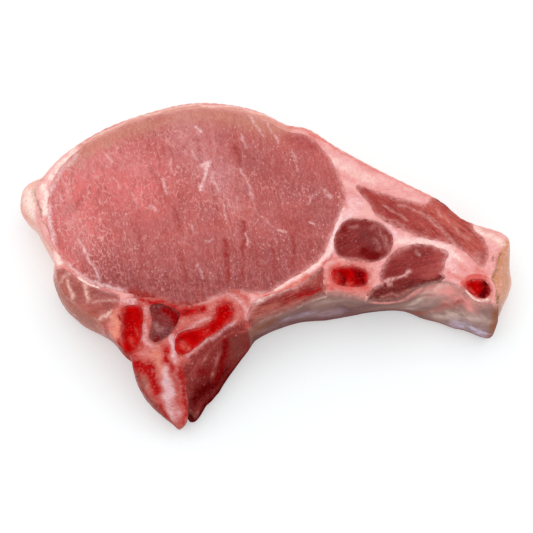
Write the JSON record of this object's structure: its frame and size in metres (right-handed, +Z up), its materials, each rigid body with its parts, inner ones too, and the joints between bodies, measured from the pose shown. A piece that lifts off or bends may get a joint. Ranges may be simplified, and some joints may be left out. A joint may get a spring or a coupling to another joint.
{
  "type": "raw pork chop",
  "caption": "Raw bone-in pork rib chop: a thick flat slice with a large round loin muscle, a fat edge, cut backbone and rib, and a tapering belly end.",
  "frame": {"origin": "middle of the chop's outline, on the lower cut face that it lies on", "axes": "+Z up, out of the upper cut face; +X along the chop from the backbone end to the rib tip; +Y towards the fat edge over the loin"},
  "size_m": [0.1663, 0.1093, 0.0256],
  "materials": {
    "loin_meat": "satin",
    "red_meat": "satin",
    "dark_meat": "satin",
    "fat": "satin",
    "bone": "satin",
    "marrow": "gloss",
    "canal_tissue": "gloss",
    "membrane": "satin"
  },
  "bodies": {
    "root": {"loin_eye": "loin_meat", "chine_muscle": "loin_meat", "belly_strip": "red_meat", "rib_meat": "red_meat", "round_muscle": "dark_meat", "oval_muscle": "dark_meat", "lower_strip": "dark_meat", "flank_meat": "dark_meat", "fat_cap": "fat", "backbone": "bone", "rib_bone": "bone", "rib_tip": "bone", "marrow_chine": "marrow", "marrow_arch": "marrow", "marrow_arm": "marrow", "marrow_rib": "marrow", "marrow_tip": "marrow", "canal_tissue": "canal_tissue", "inner_membrane": "membrane"}
  },
  "joints": []
}
